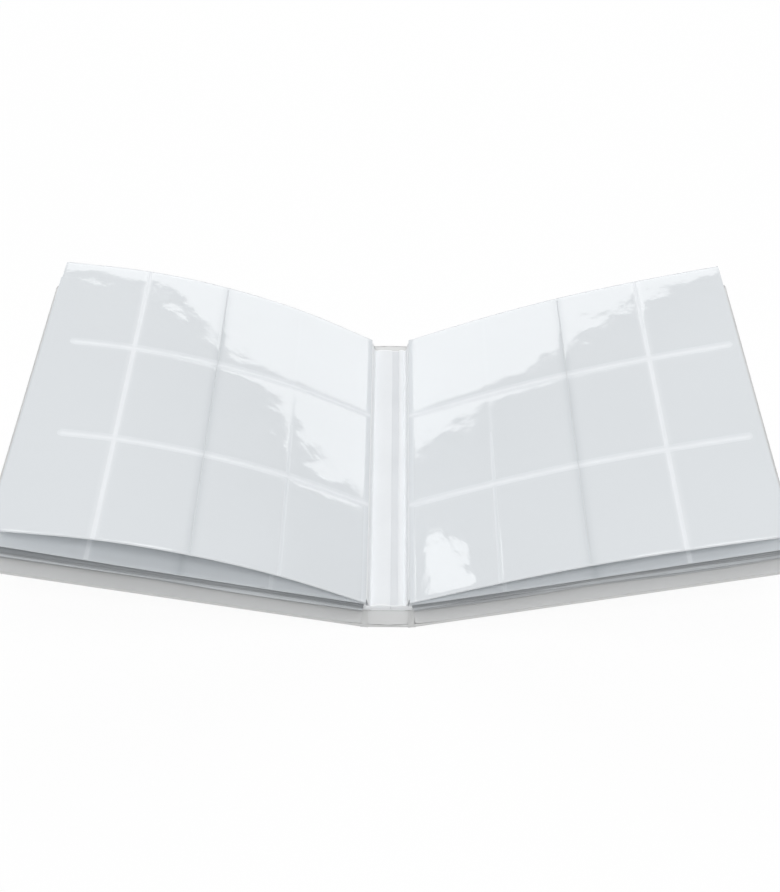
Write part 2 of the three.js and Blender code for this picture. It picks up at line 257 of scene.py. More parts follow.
def new_material(name, color, roughness, specular):
    """A material with a plain shader, and what its pattern is then linked to."""
    material = bpy.data.materials.new(name)
    material.use_nodes = True
    nodes, links = material.node_tree.nodes, material.node_tree.links
    shader = nodes["Principled BSDF"]
    shader.inputs["Base Color"].default_value = (*color, 1.0)
    shader.inputs["Roughness"].default_value = roughness
    shader.inputs["Specular IOR Level"].default_value = specular
    return material, nodes, links, shader


def object_coordinates(nodes):
    return nodes.new("ShaderNodeTexCoord").outputs["Object"]


def grain_group():
    """Fine grain: a height and a slow cloudy value from the place on the surface."""
    group = bpy.data.node_groups.new("grain", "ShaderNodeTree")
    group.interface.new_socket("Place", in_out="INPUT", socket_type="NodeSocketVector")
    group.interface.new_socket("Grain Scale", in_out="INPUT", socket_type="NodeSocketFloat")
    group.interface.new_socket("Cloud Scale", in_out="INPUT", socket_type="NodeSocketFloat")
    group.interface.new_socket("Height", in_out="OUTPUT", socket_type="NodeSocketFloat")
    group.interface.new_socket("Cloud", in_out="OUTPUT", socket_type="NodeSocketFloat")
    nodes, links = group.nodes, group.links
    given = nodes.new("NodeGroupInput")
    grain = nodes.new("ShaderNodeTexNoise")
    grain.inputs["Detail"].default_value = GRAIN_DETAIL
    cloud = nodes.new("ShaderNodeTexNoise")
    cloud.inputs["Detail"].default_value = CLOUD_DETAIL
    result = nodes.new("NodeGroupOutput")
    links.new(given.outputs["Place"], grain.inputs["Vector"])
    links.new(given.outputs["Grain Scale"], grain.inputs["Scale"])
    links.new(given.outputs["Place"], cloud.inputs["Vector"])
    links.new(given.outputs["Cloud Scale"], cloud.inputs["Scale"])
    links.new(grain.outputs["Fac"], result.inputs["Height"])
    links.new(cloud.outputs["Fac"], result.inputs["Cloud"])
    return group


GRAIN = grain_group()


def add_grain(nodes, links, grain_scale, cloud_scale):
    grain = nodes.new("ShaderNodeGroup")
    grain.node_tree = GRAIN
    grain.inputs["Grain Scale"].default_value = grain_scale
    grain.inputs["Cloud Scale"].default_value = cloud_scale
    links.new(object_coordinates(nodes), grain.inputs["Place"])
    return grain


def add_bump(nodes, links, height, shader, distance):
    bump = nodes.new("ShaderNodeBump")
    bump.inputs["Distance"].default_value = distance
    links.new(height, bump.inputs["Height"])
    links.new(bump.outputs["Normal"], shader.inputs["Normal"])


def shaded(nodes, links, value, dark, light, shader):
    """Colours a surface between two close shades by a value that changes over it."""
    ramp = nodes.new("ShaderNodeValToRGB")
    ramp.color_ramp.elements[0].position = SHADES_START
    ramp.color_ramp.elements[0].color = (*dark, 1.0)
    ramp.color_ramp.elements[1].position = SHADES_END
    ramp.color_ramp.elements[1].color = (*light, 1.0)
    links.new(value, ramp.inputs["Fac"])
    links.new(ramp.outputs["Color"], shader.inputs["Base Color"])
    return ramp


def grained_material(
    name, dark, light, roughness, grain_scale, cloud_scale, grain_height, specular=0.5
):
    """A surface of two close shades in slow clouds, with fine grain."""
    material, nodes, links, shader = new_material(name, dark, roughness, specular)
    grain = add_grain(nodes, links, grain_scale, cloud_scale)
    shaded(nodes, links, grain.outputs["Cloud"], dark, light, shader)
    add_bump(nodes, links, grain.outputs["Height"], shader, grain_height)
    return material


SKIN = grained_material(
    "white_grained_skin",
    dark=(0.58, 0.585, 0.58),
    light=(0.615, 0.62, 0.615),
    roughness=0.36,
    specular=0.8,
    grain_scale=1400.0,
    cloud_scale=9.0,
    grain_height=0.1 * MM,
)
LINING = grained_material(
    "pale_lining",
    dark=(0.61, 0.615, 0.615),
    light=(0.645, 0.65, 0.65),
    roughness=0.4,
    specular=0.8,
    grain_scale=2600.0,
    cloud_scale=14.0,
    grain_height=0.05 * MM,
)
BOARD = grained_material(
    "grey_board",
    dark=(0.30, 0.285, 0.26),
    light=(0.42, 0.40, 0.37),
    roughness=0.9,
    grain_scale=3000.0,
    cloud_scale=220.0,
    grain_height=0.12 * MM,
)


def panel(near, far, depth, bottom, top, near_corner, far_corner):
    """A flat panel from near to far, its upright corner edges rounded."""
    bm = bmesh.new()
    bmesh.ops.create_cube(bm, size=1.0)
    bmesh.ops.scale(bm, vec=(far - near, depth, top - bottom), verts=bm.verts)
    bmesh.ops.translate(bm, vec=((near + far) / 2, 0.0, (bottom + top) / 2), verts=bm.verts)
    for x, radius in ((near, near_corner), (far, far_corner)):
        upright = [
            edge
            for edge in bm.edges
            if abs(edge.verts[0].co.z - edge.verts[1].co.z) > (top - bottom) / 2
            and all(abs(vert.co.x - x) < SAME_PLACE for vert in edge.verts)
        ]
        bmesh.ops.bevel(
            bm,
            geom=upright,
            offset=radius,
            segments=CORNER_STEPS,
            profile=0.5,
            affect="EDGES",
            material=-1,
        )
    return bm


def round_rims(bm, radius, levels):
    """Rounds the edges that run round a panel at the given heights."""
    rims = [
        edge
        for edge in bm.edges
        if any(all(abs(vert.co.z - level) < SAME_LEVEL for vert in edge.verts) for level in levels)
        and len(edge.link_faces) == 2
        and edge.calc_face_angle() > RIM_FROM
    ]
    bmesh.ops.bevel(
        bm, geom=rims, offset=radius, segments=RIM_STEPS, profile=0.5, affect="EDGES", material=-1
    )


def skin_tray(near, far, depth, bottom, top, near_corner, far_corner):
    """The skin of one panel: a floor with a low rim, open at the top for the board and lining."""
    bm = panel(near, far, depth, bottom, top, near_corner, far_corner)
    lid = [face for face in bm.faces if face.calc_center_median().z > top - SAME_LEVEL]
    bmesh.ops.inset_region(bm, faces=lid, thickness=SKIN_RIM, use_even_offset=True)
    bmesh.ops.inset_region(bm, faces=lid, thickness=WELL_LEAN, depth=-WELL_DEPTH, use_even_offset=True)
    round_rims(bm, SKIN_EDGE_ROUND, (bottom, top))
    return bm


def panel_size(node, half=None):
    """The lowest and highest corner of a solid, in the frame of the half that it belongs to."""
    back = half.frame.inverted() if half else Matrix.Identity(4)
    corners = [back @ vert.co for vert in frame["nodes"][node].data.vertices]
    low = Vector([min(corner[i] for corner in corners) for i in range(3)])
    high = Vector([max(corner[i] for corner in corners) for i in range(3)])
    return low, high


def add_wrapped_panel(name, corners, half=None):
    """Skin, lining and board of one panel, which bears the name of the body that it rides on."""
    place = half.frame if half else Matrix.Identity(4)
    skin_name = name + "_skin"
    low, high = panel_size(skin_name, half)
    skin = skin_tray(low.x, high.x, high.y - low.y, low.z, high.z, *corners)
    bmesh.ops.transform(skin, matrix=place, verts=skin.verts)
    finished(skin, skin_name + "_wrapped", SKIN, name, "cover_skin", skin_name, smooth=False)
    lining_name = name + "_lining"
    low, high = panel_size(lining_name, half)
    near, far = low.x - LINING_SPREAD, high.x + LINING_SPREAD
    depth = high.y - low.y + 2 * LINING_SPREAD
    lining = panel(near, far, depth, low.z, high.z, *corners)
    round_rims(lining, LINING_EDGE_ROUND, (high.z,))
    bmesh.ops.transform(lining, matrix=place, verts=lining.verts)
    finished(lining, lining_name + "_sheet", LINING, name, "cover_lining", lining_name, smooth=False)
    board = frame["nodes"][name + "_board"]
    board.data.materials.clear()
    board.data.materials.append(BOARD)


add_wrapped_panel("spine", (CREASE_SIDE_CORNER, CREASE_SIDE_CORNER))

# Covers
# Two large stiff panels, wrapped and lined as the spine is, with rounded outer corners. Each turns beside
# the spine and has a frame of its own: distance out from its hinge, to the rear, and height over the cover.

COVER_CORNER = 6.0 * MM
JOINTS = {joint["name"]: joint for joint in frame["joints"]}


class Half:
    """One side of the open album: its name, its sign along X, its hinge and its slope."""

    def __init__(self, name, sign):
        self.name = name
        self.sign = sign
        hinge = JOINTS[name + "_cover_hinge"]
        self.hinge = Vector(hinge["pos_m"])
        self.tilt = math.radians(min(abs(limit) for limit in hinge["range_deg"]))
        out = Vector((sign * math.cos(self.tilt), 0.0, math.sin(self.tilt)))
        up = Vector((-sign * math.sin(self.tilt), 0.0, math.cos(self.tilt)))
        axes = Matrix((out, (0.0, 1.0, 0.0), up)).transposed().to_4x4()
        self.frame = Matrix.Translation(self.hinge) @ axes

    def leaf_root(self, number):
        """Distance out and height of one leaf's root, in this half's own frame."""
        joint = JOINTS["%s_leaf_%02d_turn" % (self.name, number)]
        place = self.frame.inverted() @ Vector(joint["pos_m"])
        return place.x, place.z


LEFT = Half("left", -1)
RIGHT = Half("right", 1)

for half in (LEFT, RIGHT):
    add_wrapped_panel(half.name + "_cover", (CREASE_SIDE_CORNER, COVER_CORNER), half)

# Creases
# Beside the spine the skin runs on without a board, as a thin strip; on the album it folds there when a
# cover turns, but this strip rides on no body and stays as drawn. It bends smoothly from the spine's edge
# to the cover's edge, with a shallow groove pressed into it.

CREASE_STEPS = 10
CREASE_ROWS = 24
CREASE_OVERLAP = 1.0 * MM
CREASE_PROUD = 0.03 * MM
CREASE_GROOVE = 0.3 * MM
CREASE_UNDER_GROOVE = 0.2 * MM
CREASE_EDGE_SHARE = 0.01


def end_face(low, high, x_end, half=None):
    """The lower and upper corner of a panel's end face, seen from the front."""
    place = half.frame if half else Matrix.Identity(4)
    return place @ Vector((x_end, 0.0, low.z)), place @ Vector((x_end, 0.0, high.z))


def add_crease(half):
    spine_low, spine_high = panel_size("spine_skin")
    cover_low, cover_high = panel_size(half.name + "_cover_skin", half)
    spine_x = half.sign * (spine_high.x - CREASE_OVERLAP)
    spine_end = end_face(spine_low, spine_high, spine_x)
    cover_end = end_face(cover_low, cover_high, cover_low.x + CREASE_OVERLAP, half)
    bm = bmesh.new()
    bmesh.ops.create_grid(bm, x_segments=CREASE_STEPS, y_segments=CREASE_ROWS, size=0.5)
    made = bmesh.ops.extrude_face_region(bm, geom=bm.faces[:], use_keep_orig=True)["geom"]
    upper = {part for part in made if isinstance(part, bmesh.types.BMVert)}
    depth = spine_high.y - spine_low.y + 2 * CREASE_PROUD
    for vert in bm.verts:
        across = vert.co.x + 0.5
        level = 1 if vert in upper else 0
        groove = -CREASE_GROOVE if vert in upper else CREASE_UNDER_GROOVE
        point = spine_end[level].lerp(cover_end[level], across)
        rounded = groove * max(CREASE_EDGE_SHARE, math.sin(math.pi * across) ** 2)
        vert.co = Vector((point.x, vert.co.y * depth, point.z + rounded))
    name = half.name + "_cover_crease"
    crease = finished(bm, name + "_fold", SKIN, None, "cover_skin", name)
    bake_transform(crease)


for half in (LEFT, RIGHT):
    add_crease(half)

# Binding strip
# A thin bar of the same dull, nearly white plastic as the leaves' margins. It is glued along the middle
# of the spine, and the margins are welded on to it. Near its front and rear ends the plastic is painted
# lighter: a painted light over the shade that falls on the ends.

STRIP_EDGE_ROUND = 0.25 * MM
END_LIGHT_START = 136.9 * MM
END_LIGHT_FULL = 137.5 * MM
PAINTED_LIGHT_COLOR = (0.90, 0.915, 0.93, 1.0)


def margin_material(name, dark, light):
    """Dull, nearly white plastic of the welded margins."""
    return grained_material(
        name,
        dark,
        light,
        roughness=0.6,
        specular=0.25,
        grain_scale=900.0,
        cloud_scale=26.0,
        grain_height=0.06 * MM,
    )


def paint_light_outward(material, axis, start, full):
    """Paints light on the plastic outward along an axis, from start until it is fully white at full."""
    nodes, links = material.node_tree.nodes, material.node_tree.links
    base = nodes["Principled BSDF"].inputs["Base Color"]
    parts = nodes.new("ShaderNodeSeparateXYZ")
    links.new(object_coordinates(nodes), parts.inputs[0])
    aside = nodes.new("ShaderNodeMath")
    aside.operation = "ABSOLUTE"
    links.new(parts.outputs[axis], aside.inputs[0])
    share = nodes.new("ShaderNodeMapRange")
    share.interpolation_type = "SMOOTHSTEP"
    share.inputs["From Min"].default_value = start
    share.inputs["From Max"].default_value = full
    links.new(aside.outputs[0], share.inputs["Value"])
    mix = nodes.new("ShaderNodeMix")
    mix.data_type = "RGBA"
    links.new(share.outputs[0], mix.inputs["Factor"])
    links.new(base.links[0].from_socket, mix.inputs["A"])
    mix.inputs["B"].default_value = PAINTED_LIGHT_COLOR
    links.new(mix.outputs["Result"], base)


MARGIN = margin_material("welded_margin", (0.666, 0.686, 0.707), (0.707, 0.728, 0.749))
# Painted light at the front and rear ends of the margins and the strip.
paint_light_outward(MARGIN, "Y", END_LIGHT_START, END_LIGHT_FULL)


def add_strip():
    low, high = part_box("binding_strip")
    bm = panel(low.x, high.x, high.y - low.y, low.z, high.z, CREASE_SIDE_CORNER, CREASE_SIDE_CORNER)
    round_rims(bm, STRIP_EDGE_ROUND, (low.z, high.z))
    finished(bm, "binding_strip_bar", MARGIN, "spine", "welded_margin", "binding_strip", smooth=False)


add_strip()

# Welded margins
# The inner margins of the leaves are strips of plastic, welded together and stacked on the binding strip.
# Each margin runs out to the side and curls up to the root of its own leaf, one inside the other.

LEAVES = 10
SECOND = 2
LOWER_LEAVES = range(SECOND, LEAVES + 1)
MARGIN_SHEET = 0.5 * MM
MARGIN_CURL = 1.6 * MM
MARGIN_LEAN = 0.1
MARGIN_TUCK = 0.6 * MM
MARGIN_TUCK_SHARE = 1 / 3
MARGIN_END_STAGGER = 0.3 * MM
STAGGERED = 3
SECOND_SHEET_SHIFT = 0.9 * MM
CURL_STEPS = 6
ROOT_GAP = 0.25 * MM
LEAST_STEP_SHARE = 0.2


def margin_line(half, number, inner_x, floor, ceiling):
    """Points across one welded margin, from the groove to the root of its leaf."""
    step = (ceiling - floor) / LEAVES
    flat = floor + step * (LEAVES - number + 0.5)
    out, up = half.leaf_root(number)
    root = half.frame @ Vector((out - ROOT_GAP, 0.0, up))
    wall_x = root.x + half.sign * max(0.0, MARGIN_LEAN * (root.z - flat))
    bend = min(MARGIN_CURL, abs(root.z - flat))
    wall_x -= half.sign * min(MARGIN_TUCK, bend * MARGIN_TUCK_SHARE)
    points = [Vector((inner_x, 0.0, flat))]
    for i in range(CURL_STEPS + 1):
        angle = (i / CURL_STEPS) * math.pi / 2
        x = wall_x - half.sign * bend * (1.0 - math.sin(angle))
        z = flat + bend * (1.0 - math.cos(angle))
        points.append(Vector((x, 0.0, min(z, root.z))))
    points.append(root)
    return points


def ribbon(bm, points, depth, thickness):
    """Draws one sheet along a line of points, as long as depth from front to rear."""
    sheet = bmesh.new()
    ends = [sheet.verts.new(points[0] + Vector((0.0, y, 0.0))) for y in (-depth / 2, depth / 2)]
    edge = sheet.edges.new(ends)
    for before, after in zip(points, points[1:]):
        if (after - before).length < thickness * LEAST_STEP_SHARE:
            continue
        made = bmesh.ops.extrude_edge_only(sheet, edges=[edge])["geom"]
        fresh = [part for part in made if isinstance(part, bmesh.types.BMVert)]
        edge = next(
            part
            for part in made
            if isinstance(part, bmesh.types.BMEdge) and all(vert in fresh for vert in part.verts)
        )
        for vert in fresh:
            vert.co = Vector((after.x, vert.co.y, after.z))
    bmesh.ops.recalc_face_normals(sheet, faces=sheet.faces)
    bmesh.ops.solidify(sheet, geom=sheet.faces[:], thickness=thickness)
    mesh = bpy.data.meshes.new("sheet")
    sheet.to_mesh(mesh)
    sheet.free()
    bm.from_mesh(mesh)
    bpy.data.meshes.remove(mesh)


def flatten_under(piece):
    """Gives a piece a mesh of its own."""
    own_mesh(piece)


def add_margins(half):
    name = half.name + "_margin_stack"
    low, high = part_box(name)
    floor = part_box("binding_strip")[1].z
    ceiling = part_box(half.name + "_gutter_band")[0].z
    inner_x = high.x if half.sign < 0 else low.x
    bm = bmesh.new()
    for number in LOWER_LEAVES:
        start_x = inner_x - (SECOND_SHEET_SHIFT if number == SECOND else 0.0)
        line = margin_line(half, number, start_x, floor, ceiling)
        depth = high.y - low.y - MARGIN_END_STAGGER * (number % STAGGERED)
        ribbon(bm, line, depth, MARGIN_SHEET)
    stack = finished(bm, name + "_sheets", MARGIN, "spine", "welded_margin", name, smooth=False)
    flatten_under(stack)


for half in (LEFT, RIGHT):
    add_margins(half)

# Leaves in the pile
# Each leaf is a white core sheet between two clear films, which are welded to it along its edges and along
# the lines between the pockets. Nine leaves lie loosely on each cover, and their edges don't quite line up.

COLUMNS = 4
COLUMN = 68.0 * MM
ROW = 96.6 * MM
INNER_MARGIN = 5.2 * MM
OUTER_MARGIN = 3.8 * MM
LENGTH = INNER_MARGIN + COLUMNS * COLUMN + OUTER_MARGIN
MIDDLE = INNER_MARGIN + COLUMNS / 2 * COLUMN
DEPTH = 283.5 * MM
NEAR_WELD = MIDDLE - COLUMN
FAR_WELD = MIDDLE + COLUMN
ROW_WELDS = (-ROW / 2, ROW / 2)
ROW_WELD_ENDS = {"left": (33.0 * MM, 24.0 * MM), "right": (12.0 * MM, 9.0 * MM)}
CORE_HALF = 0.15 * MM
CORE_SHORTER = 0.6 * MM
FILM_INSET = 0.8 * MM
FILM_LOW = 0.27 * MM
PATH_STEPS = 120
GRID_REACH = 2.5 * MM

FILM_DARK = (0.687, 0.7175, 0.743)
FILM_LIGHT = (0.702, 0.733, 0.7585)
FILM_WELDED = (0.825, 0.85, 0.875, 1.0)
FILM_GRAIN_SCALE = 60.0
FILM_CLOUD_SCALE = 7.0
FILM_GRAIN_HEIGHT = 0.12 * MM
CLEAR_ROUGHNESS, HAZY_ROUGHNESS = 0.03, 0.55
CLEAR_SPECULAR, HAZY_SPECULAR = 0.95, 0.3
RAGGED_LEAST, RAGGED_MOST = 0.7, 1.3

PUFF = 0.36 * MM
PUFF_REACH = 2.4 * MM
PUFF_REACH_REAR = 2.0 * MM
PUFF_REACH_FRONT = 1.2 * MM
PUFF_REACH_INNER = 9.0 * MM
PUFF_SOFT = 0.5 * MM
OUTER_WELD = 2.0 * MM
MOUTH_HALF = 0.45 * MM
MOUTH_REACH = 2.5 * MM
MOUTH_PRESS_NEAR, MOUTH_PRESS_FAR = 0.7, 0.3
RIPPLE = 0.12 * MM
RIPPLE_SCALE = 26.0
RIPPLE_LAYERS = ((1.0, 1.0), (2.3, 0.65), (5.3, 0.25))
RIPPLE_START = (3.1, 1.7, 0.4)

ROW_WHITE, ROW_WHITE_WIDTH = 0.9, 2.2 * MM
NEAR_WHITE, NEAR_WHITE_WIDTH = 0.2, 2.2 * MM
FAR_WHITE, FAR_WHITE_WIDTH = 0.85, 2.5 * MM
# A top leaf's ends: the white of the edge weld with a painted highlight added.
END_WELD_AND_PAINTED_HIGHLIGHT, END_WELD_AND_PAINTED_HIGHLIGHT_WIDTH = 0.3, 1.2 * MM
# Painted shade along the pocket mouths, carried below 0 in the weld attribute.
MOUTH_PAINTED_SHADE, MOUTH_PAINTED_SHADE_WIDTH = 0.55, 3.6 * MM
NEAR_LEAST = 0.1
ROW_HAZE = (1.2 * MM, 5.5 * MM)
COLUMN_HAZE = (0.5 * MM, 2.5 * MM)
MARGIN_HAZE = (3.0 * MM, INNER_MARGIN)

PILE_SHIFT = 0.3 * MM
PILE_RECESS = 0.4 * MM
LEAF_RECESS = 1.4 * MM
LEAF_RECESS_TURN = 0.618
PILE_FILM_INSET = 5.0 * MM
PILE_PRESSED = 0.16 * MM
PILE_WAVE = 0.45 * MM
OWN_WAVE = 0.35 * MM
WAVE_SCALE = 7.0
LEAF_WAVE_START = 2.7
EDGE_WANDER = 2.6 * MM
SECOND_FORWARD = {"left": -1.0 * MM, "right": -0.2 * MM}
SECOND_SAG = {"left": 0.0, "right": 0.5 * MM}
SECOND_SAG_REACH = 35.0 * MM
SECOND_LIFT = {"left": 4.0 * MM, "right": 1.2 * MM}
SECOND_STEPS = (0.9 * MM, 6.0 * MM)
PILE_STEPS = (1.5 * MM, 9.0 * MM)
PILE_CORE_STEPS = (4.0 * MM, 9.0 * MM)


def mapped(nodes, links, value, low, high):
    """Turns a share from 0 to 1 into a value from low to high."""
    spread = nodes.new("ShaderNodeMapRange")
    spread.inputs["To Min"].default_value = low
    spread.inputs["To Max"].default_value = high
    links.new(value, spread.inputs["Value"])
    return spread.outputs[0]


def film_material():
    """Clear film over the white core: glossy and gently rippled, dull white along the welds."""
    material, nodes, links, shader = new_material("pocket_film", FILM_DARK, CLEAR_ROUGHNESS, CLEAR_SPECULAR)
    grain = add_grain(nodes, links, FILM_GRAIN_SCALE, FILM_CLOUD_SCALE)
    # Besides the welds' white, the weld attribute carries a painted shade along the mouths and a painted
    # highlight at a top leaf's ends.
    weld = nodes.new("ShaderNodeAttribute")
    weld.attribute_name = "weld"
    haze = nodes.new("ShaderNodeAttribute")
    haze.attribute_name = "haze"
    uneven = mapped(nodes, links, grain.outputs["Height"], RAGGED_LEAST, RAGGED_MOST)
    ragged = nodes.new("ShaderNodeMath")
    ragged.operation = "MULTIPLY"
    links.new(weld.outputs["Fac"], ragged.inputs[0])
    links.new(uneven, ragged.inputs[1])
    cloud = shaded(nodes, links, grain.outputs["Cloud"], FILM_DARK, FILM_LIGHT, shader)
    mix = nodes.new("ShaderNodeMix")
    mix.data_type = "RGBA"
    mix.clamp_factor = False
    links.new(ragged.outputs[0], mix.inputs["Factor"])
    links.new(cloud.outputs["Color"], mix.inputs["A"])
    mix.inputs["B"].default_value = FILM_WELDED
    links.new(mix.outputs["Result"], shader.inputs["Base Color"])
    rough = mapped(nodes, links, haze.outputs["Fac"], CLEAR_ROUGHNESS, HAZY_ROUGHNESS)
    links.new(rough, shader.inputs["Roughness"])
    gloss = mapped(nodes, links, haze.outputs["Fac"], CLEAR_SPECULAR, HAZY_SPECULAR)
    links.new(gloss, shader.inputs["Specular IOR Level"])
    add_bump(nodes, links, grain.outputs["Height"], shader, FILM_GRAIN_HEIGHT)
    return material


def core_material(name, dark, light):
    """Smooth sheet inside a leaf: nearly white, or darker where it carries painted shade."""
    return grained_material(
        name,
        dark,
        light,
        roughness=0.5,
        grain_scale=700.0,
        cloud_scale=11.0,
        grain_height=0.04 * MM,
    )


FILM = film_material()
CORE = core_material("leaf_core", (0.625, 0.65, 0.67), (0.655, 0.68, 0.70))
PILE_PAINTED_SHADE_CORE = core_material("pile_core_painted_shade", (0.48, 0.495, 0.51), (0.57, 0.585, 0.60))
DEEP_PAINTED_SHADE_CORE = core_material("deep_core_painted_shade", (0.33, 0.345, 0.36), (0.42, 0.435, 0.45))

# The cores that show in the deep gaps of the pile are painted darker: a painted shade for the shade that
# gathers there.
PAINTED_SHADE_CORES = {3: DEEP_PAINTED_SHADE_CORE, 4: DEEP_PAINTED_SHADE_CORE, 5: PILE_PAINTED_SHADE_CORE, 8: PILE_PAINTED_SHADE_CORE, 9: PILE_PAINTED_SHADE_CORE, 10: PILE_PAINTED_SHADE_CORE}


def close_to(value, lines):
    """Distance to the nearest of some lines."""
    return min(abs(value - line) for line in lines)


def smooth_share(distance, full, none):
    """1 up to full, 0 from none, and a smooth step between."""
    share = min(1.0, max(0.0, (none - distance) / (none - full)))
    return share * share * (3.0 - 2.0 * share)


def bump(distance, width):
    """1 on a line, and falling off beside it."""
    return math.exp(-((distance / width) ** 2))


def rise(distance, reach):
    """0 on a weld, and nearly 1 some reaches away from it."""
    soft = math.hypot(distance, PUFF_SOFT) - PUFF_SOFT
    return 1.0 - math.exp(-soft / reach)


class LeafShape:
    """How one leaf lies: its root, its curve and its ripples, in its half's own frame."""

    def __init__(self, half, number, slopes=()):
        self.half = half
        self.slopes = slopes
        side_start, leaf_start, start = RIPPLE_START
        self.ripple_start = Vector((half.sign * side_start, number * leaf_start, start))
        self.points = [half.leaf_root(number)]
        self.angles = [self.angle_at(0.0)]
        step = LENGTH / PATH_STEPS
        for i in range(1, PATH_STEPS + 1):
            angle = self.angle_at((i - 0.5) * step)
            x, z = self.points[-1]
            self.points.append((x + step * math.cos(angle), z + step * math.sin(angle)))
            self.angles.append(self.angle_at(i * step))

    def angle_at(self, s):
        """The leaf's slope over its cover. A leaf without slopes of its own lies flat on it."""
        if not self.slopes:
            return 0.0
        column = min(max((s - INNER_MARGIN) / COLUMN - 0.5, 0.0), len(self.slopes) - 1.0)
        first = min(int(column), len(self.slopes) - 2)
        slope = self.slopes[first] + (self.slopes[first + 1] - self.slopes[first]) * (column - first)
        return math.radians(slope) - self.half.tilt

    def place(self, s, y, height):
        """The point at s along the leaf and y to the rear, at a height over the leaf's middle."""
        along = min(max(s / LENGTH, 0.0), 1.0) * PATH_STEPS
        i = min(int(along), PATH_STEPS - 1)
        part = along - i
        (x0, z0), (x1, z1) = self.points[i], self.points[i + 1]
        angle = self.angles[i] + (self.angles[i + 1] - self.angles[i]) * part
        x = x0 + (x1 - x0) * part - height * math.sin(angle)
        z = z0 + (z1 - z0) * part + height * math.cos(angle)
        return self.half.frame @ Vector((x, y, z))

    def ripple(self, s, y):
        place = Vector((s, y, 0.0)) * RIPPLE_SCALE + self.ripple_start
        return RIPPLE * sum(share * noise.noise(place * finer) for finer, share in RIPPLE_LAYERS)

    def row_distance(self, s, y):
        """Distance to the nearest weld line between two rows, which stops short of the outer edge."""
        front_end, rear_end = ROW_WELD_ENDS[self.half.name]
        beyond = max(0.0, s - LENGTH + (rear_end if y > 0.0 else front_end))
        return math.hypot(close_to(y, ROW_WELDS), beyond)

    def near_strength(self, y):
        """The weld next to the gutter is plain at the front and fades towards the rear."""
        return NEAR_LEAST + (1.0 - NEAR_LEAST) * smooth_share(y, *ROW_WELDS)

    def weld_white_and_painted_light(self, s, y):
        """How much welds, and a top leaf's welded ends with a painted highlight, make the film whiter.
        Below 0: painted shade at mouths.
        """
        row = ROW_WHITE * bump(self.row_distance(s, y), ROW_WHITE_WIDTH)
        near = NEAR_WHITE * self.near_strength(y) * bump(s - NEAR_WELD, NEAR_WHITE_WIDTH)
        far = FAR_WHITE * bump(s - FAR_WELD, FAR_WHITE_WIDTH)
        ends = END_WELD_AND_PAINTED_HIGHLIGHT * bump(DEPTH / 2 - FILM_INSET - abs(y), END_WELD_AND_PAINTED_HIGHLIGHT_WIDTH)
        whitest = max(row, near, far, ends if self.slopes else 0.0)
        return whitest - MOUTH_PAINTED_SHADE * bump(s - MIDDLE, MOUTH_PAINTED_SHADE_WIDTH)

    def haze(self, s, y):
        """How dull the film is: fully on the welds, and fading beside them."""
        row = smooth_share(self.row_distance(s, y), *ROW_HAZE)
        far = smooth_share(abs(s - FAR_WELD), *COLUMN_HAZE)
        near = self.near_strength(y) * smooth_share(abs(s - NEAR_WELD), *COLUMN_HAZE)
        return max(row, far, near, smooth_share(s, *MARGIN_HAZE))

    def puff(self, s, y):
        """How far the film stands off: 0 on the welds, 1 in the middle of a pocket."""
        share = rise(self.row_distance(s, y), PUFF_REACH)
        share *= rise(abs(s - FAR_WELD), PUFF_REACH)
        share *= 1.0 - self.near_strength(y) * (1.0 - rise(abs(s - NEAR_WELD), PUFF_REACH))
        share *= rise(max(0.0, s - INNER_MARGIN), PUFF_REACH_INNER)
        share *= rise(max(0.0, LENGTH - OUTER_WELD - s), PUFF_REACH)
        share *= rise(DEPTH / 2 - FILM_INSET - y, PUFF_REACH_REAR)
        share *= rise(DEPTH / 2 - FILM_INSET + y, PUFF_REACH_FRONT)
        from_mouth = max(0.0, abs(s - MIDDLE) - MOUTH_HALF)
        press = MOUTH_PRESS_FAR if s > MIDDLE else MOUTH_PRESS_NEAR
        return share * (1.0 - press * math.exp(-from_mouth / MOUTH_REACH))

    def height(self, s, y):
        """Height of a film's outer face over the middle of the leaf."""
        return FILM_LOW + self.puff(s, y) * (PUFF + self.ripple(s, y))


def stations(start, end, lines, fine, wide):
    """Places from start to end: close together near each line, wide apart elsewhere."""
    places = [start]
    while places[-1] < end - fine / 2:
        near = close_to(places[-1] + wide / 2, lines) < GRID_REACH + wide / 2
        places.append(places[-1] + (fine if near else wide))
    places[-1] = end
    return places


def leaf_grid(start, end, reach, fine, wide):
    """A flat grid over a leaf, close along its welds and edges."""
    columns = stations(start, end, (INNER_MARGIN, NEAR_WELD, MIDDLE, FAR_WELD, end), fine, wide)
    rows = stations(-reach, reach, (-reach, *ROW_WELDS, reach), fine, wide)
    bm = bmesh.new()
    bmesh.ops.create_grid(bm, x_segments=len(columns) - 1, y_segments=len(rows) - 1, size=0.5)
    for vert in bm.verts:
        column = round((vert.co.x + 0.5) * (len(columns) - 1))
        row = round((vert.co.y + 0.5) * (len(rows) - 1))
        vert.co = Vector((columns[column], rows[row], 0.0))
    return bm


def drawn(shape, bm, outer, inner, slide=lambda s: 0.0):
    """Gives a grid two faces, at two heights over the leaf, and bends it to the leaf's curve."""
    weld = bm.verts.layers.float.new("weld")
    haze = bm.verts.layers.float.new("haze")
    made = bmesh.ops.extrude_face_region(bm, geom=bm.faces[:], use_keep_orig=True)["geom"]
    raised = {part for part in made if isinstance(part, bmesh.types.BMVert)}
    for vert in bm.verts:
        s, y, _ = vert.co
        # The weld attribute takes the welds' white, the painted highlight and the painted shade.
        vert[weld] = shape.weld_white_and_painted_light(s, y)
        vert[haze] = shape.haze(s, y)
        height = outer(s, y) if vert in raised else inner(s, y)
        vert.co = shape.place(s, y + slide(s), height)


